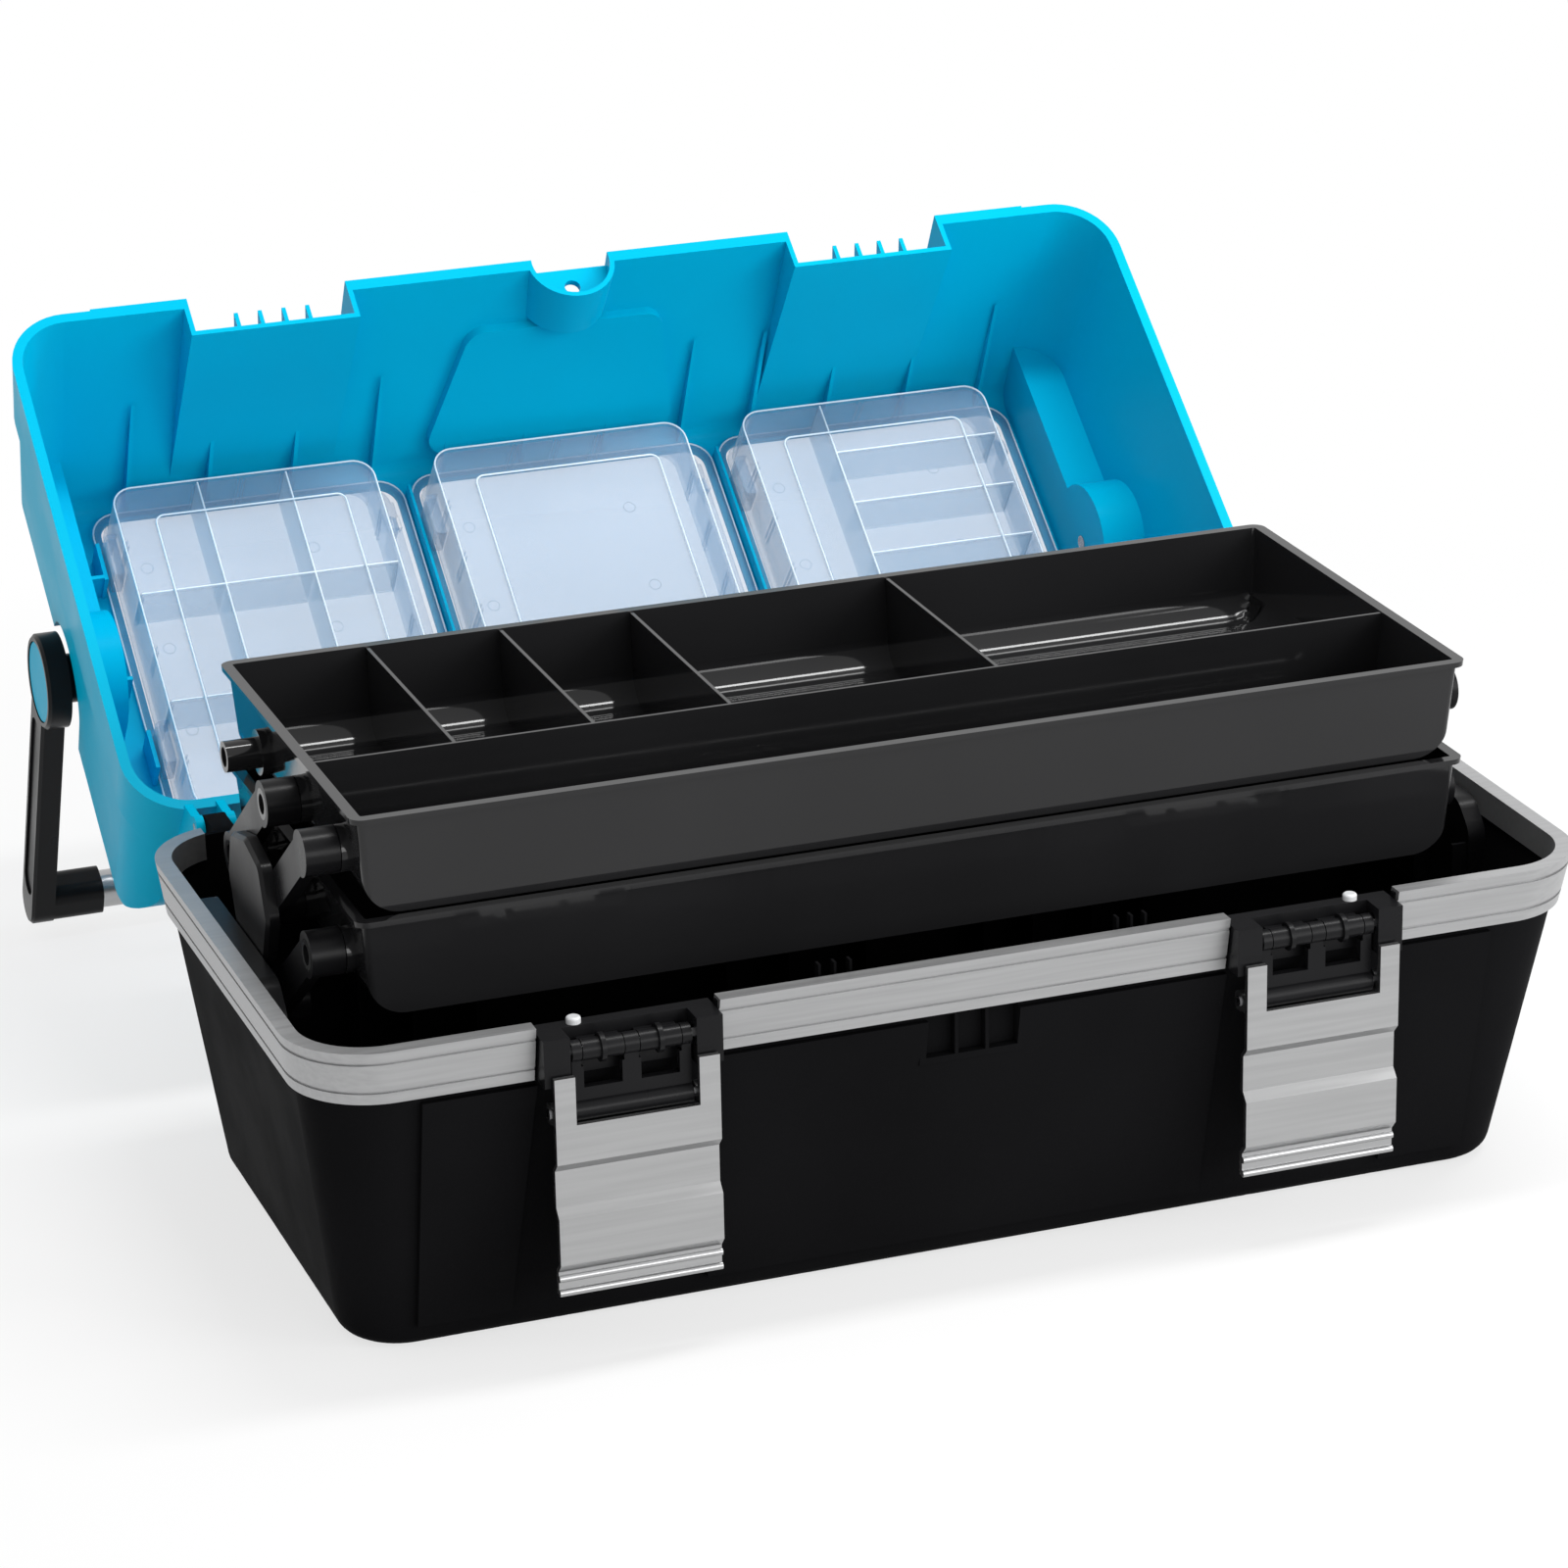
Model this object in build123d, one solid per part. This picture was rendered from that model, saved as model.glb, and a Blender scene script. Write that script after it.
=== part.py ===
from build123d import *
from math import hypot
import os

# Plastic tool box, drawn as it stands in use: lid open, trays in their stored place.
# Millimetres. X to the right, Y to the rear, Z up. Origin on the floor below the base.

# General
WALL = 3.0
THIN = 2.5
GAP = 0.4
RUN_FIT = 0.08
SIDES = (-1, 1)

# Base tub
TUB_LOW_Z = 0.0
TUB_RIM_Z = 150.5
TUB_LEVELS = ((TUB_LOW_Z, 270, -106, 125, 28), (TUB_RIM_Z, 292, -137, 137, 35))
TUB_EDGE_R = 10.0
PANEL_HALF_X = 244.0
PANEL_PROUD = 3.0
PANEL_Z = (12, 124)
CHANNEL = ((114.6, 0), (203.7, 0), (194.5, 125), (117.0, 125))
REAR_RIBS = (-203.5, -178.2, -147.6, -25.6, 5.4, 44.2, 103.9, 129.1, 159.5, 186.1)
RIM_FINS = (-68, -61, -54, 68, 74.5, 81)
FIN_TOP_Z = 156.0

# Padlock place, in the base and in the lid
LOCK_HALF_X = 21.0
LOCK_Z = (106, 125)
LOCK_R = 20.0
LOCK_HEIGHT = 28.0
LOCK_HOLE_R = 4.0
LOCK_WEB = (9, 12.5)

# Silver trim
TRIM_TOP_Z = 152.0
TRIM_OUT = 3.0
TRIM_IN = 1.5
TRIM_LEG_Z = 127.0
TRIM_INNER_Z = 140.0
TRIM_REAR_X = 266.0

# Latches
LATCH_X = 156.0
LATCH_GAP_HALF = 40.0
PIN_Y = -140.0
PIN_Z = 139.5
PIN_R = 2.2
KNUCKLE_R = 4.6
KNUCKLE_X = 12.5
KNUCKLE_HALF = 9.0
KNUCKLE_RIB_R = 6.2
HOUSING_HALF = 39.0
LINK_HALF = 26.0
LINK_WINDOW_LOW = 123.5
ROD_Y = -141.0
ROD_Z = 113.5
ROD_R = 2.4
ROD_HALF = 36.5
LEVER_HALF = 36.0
LEVER_T = 2.6
LEVER_NOTCH_Z = 110.5
LEVER_PROFILE = ((-147.2, 132), (-147.2, 93.6), (-143.5, 89.5), (-143.5, 72.9),
                 (-147.2, 68.8), (-147.2, 47.8), (-143.5, 43.5), (-143.5, 33.0))

# Trays
TRAY_LEVELS = ((0, 248.5, -78.5, 125.5, 3), (45, 252, -82, 129, 3))
TRAY_DEPTH = 45.0
TRAY_WALL_TOP = 44.5
TRAY_WALL = 2.0
TRAY_EDGE_R = 17.0
TRAY_FLANGE = 3.0
TRAY_RIMS = (186.5, 232.0)
TRAY_DIVIDER_Y = -8.4
TRAY_CROSS_X = (-187.5, -125.0, -62.5, 62.5)
DIVIDER_T = 1.6

# Tray pegs and arms: long hubs at the left end, flat ones at the right
ENDS = ((-1, "left", 270.0), (1, "right", 259.4))
PEG_Y = (-57.0, 6.0, 69.0)
PEG_DROP = 21.5
PEG_R = 7.0
PEG_BORE_R = 4.5
HUB_R = 10.25
HUB_IN = 255.4
WEB_T = 6.0
CHEEK_T = 6.0
CHEEK_GAP = 0.5
BRACKET_X = 277.0
BRACKET = ((-48, 92), (90, 92), (88, 128), (70, 147), (-36, 147), (-48, 135))
BRACKET_RIBS = ((-46, 129), (-8, 137))
BASE_PEG_Z = 119.5
CHEEK = ((-18, 166), (-8, 188), (15, 193), (40, 187), (47, 166), (36, 143), (12, 128), (-8, 143))

# Lid, in its own frame: x, s from the front rim to the rear, h up from the rim
OPEN_ANGLE = 142.0
HINGE_Y = 158.0
HINGE_Z = 145.0
LID_FRONT_Y = -141.0
LID_RIM_Z = TRIM_TOP_Z + GAP
LID_TOP = 131.0
LID_LEVELS = ((0, 286, 0, 282, 28), (LID_TOP, 276.6, 23.4, 272.5, 24))
LID_EDGE_R = 12.0
LID_REAR_R = 40.0
LID_REAR_S = 233.5
BAND_TOP = 36.0
BAND_PROUD = 2.5
FACE_PROUD = 3.5
FACE_TOP = 116.0
NOTCH_X = (116.0, 196.0)
NOTCH_SIDE = ((-10, -2), (16.4, -2), (20.0, 112), (-10, 112))
NICHE = ((-48, 36), (48, 36), (65, 112), (-65, 112))
NICHE_DEPTH = 4.5
NICHE_R = 9.0
TOOTH = ((17.5, 0.5), (8, 0.5), (17.5, 15))
GUSSET = ((15, 58), (29.5, 121), (29.5, 129), (22, 129))
POCKET_X = 258.0
POCKET_LOW = 95.0
POCKET_R = 28.0
HINGE_STATIONS = (-255.0, -85.0, 85.0, 255.0)
HINGE_PIN_R = 2.5
BARREL_R = 5.5
BARREL_HALF = 5.0
EAR_T = 4.0

# Handle, in the lid's frame
PIVOT_S = 141.0
PIVOT_H = 100.0
GRIP_REACH = 152.0
ARM_REACH = 165.0
HANDLE_TILT = 12.5
ARM_X = (281.5, 293.0)
ARM_HALF = 11.5
RING_R = 23.5
DISC_R = 20.0
HANDLE_HUB_R = 12.0
HANDLE_PIN_R = 4.0
SLEEVE_X = 256.0
SLEEVE_HALF = 10.5
GRIP_R = 9.5
GRIP_BORE_R = 7.5

# Organisers, in the lid's frame
ORG_X = (-166.0, 0.0, 166.0)
ORG_HALF_X = 68.5
ORG_S = (34.0, 226.0)
ORG_FACE = 100.0
ORG_RIM = 127.5
ORG_WALL = 1.6
ORG_FLANGE_T = 1.6
ORG_FLANGE = (-75.5, 87.5, 30.5, 229.5)
WINDOW = (-70.5, 84.0, 33.5, 226.5)
COVER_GAP = 1.0
COVER_T = 2.4
COVER_PIN = (79.5, 130.0)
COVER_PIN_R = 1.0
COVER_BARREL_R = 2.2
LUG_LONG = 8.0
ORG_RIDGE_IN = 19.0
ORG_LONG_X = 22.8
ORG_DIVIDER_T = 1.2
ORG_TOP_DROP = 1.4


# Plain shapes shared by all pieces
def block(x0, x1, y0, y1, z0, z1):
    return Pos((x0 + x1) / 2, (y0 + y1) / 2, (z0 + z1) / 2) * Box(x1 - x0, y1 - y0, z1 - z0)


def rod(x0, x1, y, z, r):
    return Pos((x0 + x1) / 2, y, z) * Rot(0, 90, 0) * Cylinder(r, x1 - x0)


def post(x, y, z0, z1, r):
    return Pos(x, y, (z0 + z1) / 2) * Cylinder(r, z1 - z0)


def across(points, x0, x1, r=0):
    line = FilletPolyline(*points, radius=r, close=True) if r else Polyline(*points, close=True)
    return extrude(Plane.YZ.offset(x0) * make_face(line), x1 - x0)


def along(points, y0, y1, r=0):
    line = FilletPolyline(*points, radius=r, close=True) if r else Polyline(*points, close=True)
    return extrude(Plane.XZ.offset(-y1) * make_face(line), y1 - y0)


def bar(a, b, x0, x1, r):
    middle = (x0, (a[0] + b[0]) / 2, (a[1] + b[1]) / 2)
    plane = Plane(middle, x_dir=(0, b[0] - a[0], b[1] - a[1]), z_dir=(1, 0, 0))
    return extrude(plane * SlotCenterToCenter(hypot(b[0] - a[0], b[1] - a[1]), 2 * r), x1 - x0)


def rounded(x0, x1, y0, y1, z0, z1, r):
    return extrude(Pos((x0 + x1) / 2, (y0 + y1) / 2, z0) * RectangleRounded(x1 - x0, y1 - y0, r), z1 - z0)


def twin(shape):
    return shape + mirror(shape, Plane.YZ)


def sided(shape, side):
    return shape if side > 0 else mirror(shape, Plane.YZ)


# Drafted boxes with rounded corners, given by two levels of (z, half x, front, rear, corner)
def spans(levels, z, off):
    (z0, hx0, f0, b0, r0), (z1, hx1, f1, b1, r1) = levels
    t = (z - z0) / (z1 - z0)
    hx = hx0 + (hx1 - hx0) * t + off
    front = f0 + (f1 - f0) * t - off
    back = b0 + (b1 - b0) * t + off
    return hx, front, back, r0 + (r1 - r0) * t + off


def level(levels, z, off):
    hx, front, back, r = spans(levels, z, off)
    return Pos(0, (front + back) / 2, z) * RectangleRounded(2 * hx, back - front, r)


def drafted(levels, z0, z1, off=0.0):
    return loft([level(levels, z0, off), level(levels, z1, off)], ruled=True)


# The same box with its four bottom edges rolled up and its corners left crisp
def rolled(levels, z0, z1, off, r):
    hx0, f0, b0, _ = spans(levels, z0, off)
    hx1, f1, b1, _ = spans(levels, 2 * z1, off)
    ends = along(((-hx0, z0), (hx0, z0), (hx1, 2 * z1), (-hx1, 2 * z1)), -300, 300, r)
    sides = across(((f0, z0), (b0, z0), (b1, 2 * z1), (f1, 2 * z1)), -300, 300, r)
    return drafted(levels, z0, z1, off) & ends & sides


def soft(shape, axis_last, r):
    return fillet(shape.faces().sort_by(Axis.Z)[axis_last].edges(), r)


os.makedirs("parts", exist_ok=True)
nodes = {}

# Base tub: drafted moulding with a proud front panel that leaves room for the latches
cavity = soft(drafted(TUB_LEVELS, TUB_LOW_Z + WALL, TUB_RIM_Z + 1, -WALL), 0, TUB_EDGE_R - WALL)
tub = soft(drafted(TUB_LEVELS, TUB_LOW_Z, TUB_RIM_Z), 0, TUB_EDGE_R)
panel = drafted(TUB_LEVELS, PANEL_Z[0], PANEL_Z[1], PANEL_PROUD)
panel = panel & block(-PANEL_HALF_X, PANEL_HALF_X, -160, 0, *PANEL_Z)
panel = panel - twin(along(CHANNEL, -170, 0))
tub = tub + panel - cavity
backing = block(-LOCK_HALF_X - WALL, LOCK_HALF_X + WALL, -131, -123, LOCK_Z[0] - WALL, LOCK_Z[1] + WALL)
tub = tub + backing - block(-LOCK_HALF_X, LOCK_HALF_X, -150, -126, *LOCK_Z)
for x in (-7, 7):
    tub = tub + block(x - 0.8, x + 0.8, -131, -125.5, *LOCK_Z)
for x in REAR_RIBS:
    tub = tub + (block(x - 0.8, x + 0.8, 110, 136, 12, 140) & cavity - cavity.moved(Pos(0, -2, 0)))
for x in RIM_FINS:
    tub = tub + block(x - 0.6, x + 0.6, -131, -125.5, 118, TRIM_INNER_Z - 0.5)
    tub = tub + block(x - 0.6, x + 0.6, -129.6, -125.5, 118, FIN_TOP_Z)
tub = tub - twin(block(LATCH_X - HOUSING_HALF, LATCH_X + HOUSING_HALF, -150, -125, TRIM_LEG_Z, 155))
barrel = across(((133, 116), (158, 139.5), (158, 150.5), (136, 150.5)), -BARREL_HALF, BARREL_HALF)
barrel = barrel + rod(-BARREL_HALF, BARREL_HALF, HINGE_Y, HINGE_Z, BARREL_R)
barrel = barrel - rod(-9, 9, HINGE_Y, HINGE_Z, HINGE_PIN_R + RUN_FIT)
for x in HINGE_STATIONS:
    tub = tub + barrel.moved(Pos(x, 0, 0))
nodes["base_tub"] = tub

# Silver trim: a channel over the rim, in three lengths between the latches
channel = drafted(TUB_LEVELS, TRIM_LEG_Z, TRIM_TOP_Z, TRIM_OUT)
channel = channel - drafted(TUB_LEVELS, TRIM_LEG_Z - 1, TRIM_TOP_Z + 1, -WALL - TRIM_IN)
channel = channel - drafted(TUB_LEVELS, TRIM_LEG_Z - 2, TUB_RIM_Z, 0)
channel = channel + (drafted(TUB_LEVELS, TRIM_INNER_Z, TRIM_TOP_Z, -WALL)
                     - drafted(TUB_LEVELS, TRIM_INNER_Z - 1, TRIM_TOP_Z + 1, -WALL - TRIM_IN))
for z in (132.0, 146.0):
    groove = drafted(TUB_LEVELS, z, z + 1.6, TRIM_OUT + 1) - drafted(TUB_LEVELS, z - 1, z + 3, TRIM_OUT - 0.7)
    channel = channel - groove
in_gap = LATCH_X - LATCH_GAP_HALF
out_gap = LATCH_X + LATCH_GAP_HALF
trim_right = channel & (block(out_gap, 300, -150, 0, 120, 160) + block(TRIM_REAR_X, 300, -1, 150, 120, 160))
nodes["trim_right"] = trim_right
nodes["trim_left"] = mirror(trim_right, Plane.YZ)
nodes["trim_middle"] = channel & block(-in_gap, in_gap, -150, -100, 120, 160)

# Brackets inside the ends, with the two lower pegs of the tray arms
for side, word, hub_out in ENDS:
    bracket = across(BRACKET, BRACKET_X, 285.5, 12) & cavity
    for y in PEG_Y[1:]:
        bracket = bracket + rod(hub_out + 0.9, BRACKET_X + 1, y, BASE_PEG_Z, PEG_R + 1.5)
        bracket = bracket + rod(HUB_IN + 0.6, BRACKET_X + 1, y, BASE_PEG_Z, PEG_R)
        bracket = bracket - rod(HUB_IN, BRACKET_X - 2, y, BASE_PEG_Z, PEG_BORE_R)
    if side > 0:
        for y, top in BRACKET_RIBS:
            bracket = bracket + block(BRACKET_X - 7, BRACKET_X + 1, y, y + 2, 95, top)
    nodes["arm_bracket_" + word] = sided(bracket, side)

# Latch housings with their pins
housing = block(LATCH_X - HOUSING_HALF, LATCH_X + HOUSING_HALF, -134, -127, TRIM_LEG_Z, 148)
for side in SIDES:
    outer = LATCH_X + side * HOUSING_HALF
    inner = LATCH_X + side * (LINK_HALF + 1.5)
    housing = housing + block(min(outer, inner), max(outer, inner), -146, -127, TRIM_LEG_Z, 148)
    knuckle = LATCH_X + side * KNUCKLE_X
    low, high = knuckle - KNUCKLE_HALF, knuckle + KNUCKLE_HALF
    housing = housing + rod(low, high, PIN_Y, PIN_Z, KNUCKLE_R)
    housing = housing + rod(knuckle - 1, knuckle + 1, PIN_Y, PIN_Z, KNUCKLE_RIB_R)
    housing = housing + block(low, high, PIN_Y, -133, PIN_Z - 3.5, PIN_Z + 3.5)
housing = housing - rod(LATCH_X - 33, LATCH_X + 33, PIN_Y, PIN_Z, PIN_R)
pin = rod(LATCH_X - 33, LATCH_X + 33, PIN_Y, PIN_Z, PIN_R)
for side, word in ((-1, "left"), (1, "right")):
    nodes["latch_housing_" + word] = sided(housing, side)
    nodes["latch_pin_" + word] = sided(pin, side)
bumper = post(LATCH_X + 21, -130.5, 148, 151, 3.2)
nodes["rim_bumpers"] = twin(soft(bumper, -1, 1.2))

# Latch links: a plate between the pin and the rod, with two windows under the knuckles
link = block(LATCH_X - LINK_HALF, LATCH_X + LINK_HALF, -142.4, -138.6, ROD_Z, PIN_Z)
link = link + rod(LATCH_X - LINK_HALF, LATCH_X + LINK_HALF, PIN_Y, PIN_Z, KNUCKLE_R)
link = link + rod(LATCH_X - LINK_HALF, LATCH_X + LINK_HALF, ROD_Y, ROD_Z, KNUCKLE_R)
for side in SIDES:
    knuckle = LATCH_X + side * KNUCKLE_X
    low, high = knuckle - KNUCKLE_HALF - GAP, knuckle + KNUCKLE_HALF + GAP
    link = link - block(low, high, -150, -130, PIN_Z - 6.5, PIN_Z + 6.5)
    link = link - block(low + 1, high - 1, -150, -130, LINK_WINDOW_LOW, PIN_Z - 6)
link = link - rod(LATCH_X - 40, LATCH_X + 40, PIN_Y, PIN_Z, PIN_R + RUN_FIT)
link = link - rod(LATCH_X - 40, LATCH_X + 40, ROD_Y, ROD_Z, ROD_R)
latch_rod = rod(LATCH_X - ROD_HALF, LATCH_X + ROD_HALF, ROD_Y, ROD_Z, ROD_R)

# Latch levers: a stepped plate with two hooks round the ends of the rod
front_line = [(y - LEVER_T, z) for y, z in LEVER_PROFILE]
lever = across(list(LEVER_PROFILE) + front_line[::-1], LATCH_X - LEVER_HALF, LATCH_X + LEVER_HALF)
lever = lever - block(LATCH_X - LINK_HALF - 1, LATCH_X + LINK_HALF + 1, -152, -140, LEVER_NOTCH_Z, 140)
for z in (33.0, 39.5):
    lever = lever + rod(LATCH_X - LEVER_HALF, LATCH_X + LEVER_HALF, -146.4, z + 1, 1.6)
for side in SIDES:
    outer = LATCH_X + side * LEVER_HALF
    inner = LATCH_X + side * (LINK_HALF + 1)
    low, high = min(outer, inner), max(outer, inner)
    lever = lever + rod(low, high, ROD_Y, ROD_Z, KNUCKLE_R)
    lever = lever + block(low, high, -148, ROD_Y, ROD_Z - 3.5, ROD_Z + 3.5)
lever = lever - rod(LATCH_X - 40, LATCH_X + 40, ROD_Y, ROD_Z, ROD_R + RUN_FIT)
for side, word in ((-1, "left"), (1, "right")):
    nodes["latch_link_" + word] = sided(link, side)
    nodes["latch_rod_" + word] = sided(latch_rod, side)
    nodes["latch_lever_" + word] = sided(lever, side)

# Tray: one moulding used twice, with three hollow pegs at each end
hollow = rolled(TRAY_LEVELS, TRAY_WALL, TRAY_DEPTH + 1, -TRAY_WALL, TRAY_EDGE_R - TRAY_WALL)
tray = rolled(TRAY_LEVELS, 0, TRAY_DEPTH, 0, TRAY_EDGE_R)
tray = tray + drafted(TRAY_LEVELS, TRAY_DEPTH - 2.5, TRAY_DEPTH, TRAY_FLANGE)
peg_z = TRAY_DEPTH - PEG_DROP
for side, word, hub_out in ENDS:
    for y in PEG_Y:
        peg = rod(246, HUB_IN - GAP, y, peg_z, HUB_R) + rod(246, hub_out, y, peg_z, PEG_R)
        tray = tray + sided(peg - rod(252, 280, y, peg_z, PEG_BORE_R), side)
walls = block(-260, 260, TRAY_DIVIDER_Y - DIVIDER_T / 2, TRAY_DIVIDER_Y + DIVIDER_T / 2, 1, TRAY_WALL_TOP)
for x in TRAY_CROSS_X:
    walls = walls + block(x - DIVIDER_T / 2, x + DIVIDER_T / 2, TRAY_DIVIDER_Y, 140, 1, TRAY_WALL_TOP)
tray = tray - hollow + (walls & hollow)
for rim, word in zip(TRAY_RIMS, ("lower", "upper")):
    nodes[word + "_tray"] = tray.moved(Pos(0, 0, rim - TRAY_DEPTH))

# Arms: the base pegs, the lower tray's pegs and the upper tray's pegs stand on three levels
heights = (BASE_PEG_Z, TRAY_RIMS[0] - PEG_DROP, TRAY_RIMS[1] - PEG_DROP)


def arm(holes, hub_out, web_end):
    shape = bar(holes[0], holes[-1], max(HUB_IN, hub_out - WEB_T), web_end, 8)
    for y, z in holes:
        shape = shape + rod(HUB_IN, web_end, y, z, HUB_R)
    return shape


def bored(shape, holes, x1):
    for y, z in holes:
        shape = shape - rod(250, x1, y, z, PEG_R + RUN_FIT)
    return shape


long_holes = [(PEG_Y[2], heights[0]), (PEG_Y[1], heights[1]), (PEG_Y[0], heights[2])]
lower_holes = [(PEG_Y[1], heights[0]), (PEG_Y[0], heights[1])]
upper_holes = [(PEG_Y[2], heights[1]), (PEG_Y[1], heights[2])]
for side, word, hub_out in ENDS:
    cheek_in = hub_out + CHEEK_GAP
    cheek = across(CHEEK, cheek_in, cheek_in + CHEEK_T, 7)
    cheek = chamfer(cheek.faces().sort_by(Axis.X)[-1].edges(), 1.6)
    long_arm = bored(arm(long_holes, hub_out, cheek_in) + cheek, long_holes, hub_out + 0.3)
    long_arm = long_arm - rod(250, 280, *long_holes[0], PEG_R + RUN_FIT)
    nodes["long_arm_" + word] = sided(long_arm, side)
    nodes["lower_arm_" + word] = sided(bored(arm(lower_holes, hub_out, hub_out), lower_holes, 280), side)
    nodes["upper_arm_" + word] = sided(bored(arm(upper_holes, hub_out, hub_out), upper_holes, 280), side)

# The lid and all it carries are drawn closed in the lid's own frame, then swung open
OPENED = Pos(0, HINGE_Y, HINGE_Z) * Rot(-OPEN_ANGLE, 0, 0) * Pos(0, LID_FRONT_Y - HINGE_Y, LID_RIM_Z - HINGE_Z)
HINGE_S = HINGE_Y - LID_FRONT_Y
HINGE_H = HINGE_Z - LID_RIM_Z


# A long roll along the lid's rear upper edge
def rear_roll(off):
    top = LID_TOP - off
    middle = LID_TOP - LID_REAR_R
    roll = rod(-310, 310, LID_REAR_S, middle, LID_REAR_R - off)
    flat = block(-310, 310, -20, LID_REAR_S, middle - 5, top)
    return roll + flat + block(-310, 310, -20, 310, -5, middle)


# Lid shell with its skirt band and front face
core = soft(drafted(LID_LEVELS, -1, LID_TOP - THIN, -THIN), -1, LID_EDGE_R - THIN) & rear_roll(THIN)
skin = soft(drafted(LID_LEVELS, 0, LID_TOP), -1, LID_EDGE_R) & rear_roll(0)
face = drafted(LID_LEVELS, 0, FACE_TOP, FACE_PROUD) & block(-PANEL_HALF_X, PANEL_HALF_X, -9, 60, 0, FACE_TOP)
band = drafted(LID_LEVELS, 0, BAND_TOP, BAND_PROUD) - block(-PANEL_HALF_X, PANEL_HALF_X, -9, 60, -1, BAND_TOP)
skin = skin + face + band
shell = skin - core

# Notches for the latches, with catch teeth
notch = twin(across(NOTCH_SIDE, *NOTCH_X))
notch_wall = [(s + (THIN if s > 0 else 0), h + (THIN if h > 0 else 0)) for s, h in NOTCH_SIDE]
shell = shell + (twin(across(notch_wall, NOTCH_X[0] - THIN, NOTCH_X[1] + THIN)) & skin) - notch
for x in (-18, -6, 6, 18):
    shell = shell + twin(across(TOOTH, LATCH_X + x - 1, LATCH_X + x + 1))

# Half-round place for a padlock, crossed by a pierced web
well = post(0, -1, -1, LOCK_HEIGHT, LOCK_R)
shell = shell + (post(0, -1, 0, LOCK_HEIGHT + THIN, LOCK_R + THIN) & skin) - well
web = (post(0, -1, *LOCK_WEB, LOCK_R) & skin) - post(0, 9, 0, 30, LOCK_HOLE_R)
nodes["lock_web"] = OPENED * web

# Sunken middle of the front face
niche_wall = [(x + (THIN if x > 0 else -THIN), h + (THIN if h > 100 else -THIN)) for x, h in NICHE]
niche = along(NICHE, -12, 60, NICHE_R) - skin.moved(Pos(0, NICHE_DEPTH + FACE_PROUD, 0))
backed = along(niche_wall, -12, 60, NICHE_R + THIN) & skin
backed = backed - skin.moved(Pos(0, NICHE_DEPTH + FACE_PROUD + THIN, 0))
shell = shell + backed - niche

# Pockets at both ends for the folded handle
pocket_wall = block(POCKET_X - THIN, 300, -20, PIVOT_S + THIN, POCKET_LOW - THIN, 140)
pocket_wall = pocket_wall + rod(POCKET_X - THIN, 300, PIVOT_S, PIVOT_H, POCKET_R + THIN)
pocket = block(POCKET_X, 300, -20, PIVOT_S, POCKET_LOW, 140) + rod(POCKET_X, 300, PIVOT_S, PIVOT_H, POCKET_R)
pocket = pocket + block(POCKET_X, 300, PIVOT_S - 1, PIVOT_S + POCKET_R, PIVOT_H, 140)
pocket_wall = pocket_wall + block(POCKET_X - THIN, 300, PIVOT_S, PIVOT_S + POCKET_R + THIN, PIVOT_H, 140)
shell = shell + twin(pocket_wall & skin) - twin(pocket)
shell = shell - twin(rod(240, 262, PIVOT_S, PIVOT_H, HANDLE_PIN_R))

# Windows, bars between the organisers, gussets and a few inner ribs
for x in ORG_X:
    shell = shell - rounded(x + WINDOW[0], x + WINDOW[1], WINDOW[2], WINDOW[3], 120, 140, 10)
for x in ORG_X[1:]:
    edge = x + ORG_FLANGE[0]
    shell = shell + block(edge - 2.2, edge - 0.8, 40, 220, 119, LID_TOP - 2)
for x in (-55, -13, 31, 73):
    for centre in ORG_X:
        shell = shell + (across(GUSSET, centre + x - 1, centre + x + 1) & skin)
for s in (77, 138):
    shell = shell + block(-255, -244, s - 1, s + 1, 112, LID_TOP - 2)
for s in (68, 180):
    hook = block(-244.5, -242.5, s - 11, s + 11, 112, LID_TOP - 2)
    shell = shell + hook

# Hinge ears on the lid and the hinge pins
ear_root = ((HINGE_S - 1, HINGE_H - 4), (HINGE_S, HINGE_H + 5.5), (280, 30), (277, 8), (280, 1))
for station in HINGE_STATIONS:
    for side in SIDES:
        near = station + side * (BARREL_HALF + GAP)
        far = station + side * (BARREL_HALF + GAP + EAR_T)
        ear = across(ear_root, min(near, far), max(near, far))
        ear = ear + rod(min(near, far), max(near, far), HINGE_S, HINGE_H, BARREL_R)
        shell = shell + ear
reach = BARREL_HALF + GAP + EAR_T
pins = [rod(x - reach, x + reach, HINGE_S, HINGE_H, HINGE_PIN_R) for x in HINGE_STATIONS]
for hinge_pin in pins:
    shell = shell - hinge_pin
nodes["lid_shell"] = OPENED * shell
nodes["hinge_pins"] = OPENED * Compound(children=pins)

# Handle: two arms turned up from the lid and tilted a little to the rear
TILTED = OPENED * Pos(0, PIVOT_S, PIVOT_H) * Rot(-HANDLE_TILT, 0, 0)
handle_arm = bar((0, 0), (0, ARM_REACH - ARM_HALF), *ARM_X, ARM_HALF)
handle_arm = handle_arm + rod(*ARM_X, 0, 0, RING_R)
handle_arm = chamfer(handle_arm.faces().sort_by(Axis.X)[-1].edges(), 1.5)
panel_cut = bar((0, 34), (0, 138), ARM_X[1] - 1.2, ARM_X[1] + 1, ARM_HALF - 4)
handle_arm = handle_arm - panel_cut - rod(ARM_X[1] - 3, ARM_X[1] + 1, 0, 0, DISC_R)
handle_arm = handle_arm + rod(POCKET_X + 1, ARM_X[0] + 1, 0, 0, HANDLE_HUB_R)
handle_arm = handle_arm - rod(POCKET_X, ARM_X[0] + 4, 0, 0, HANDLE_PIN_R + RUN_FIT)
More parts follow.
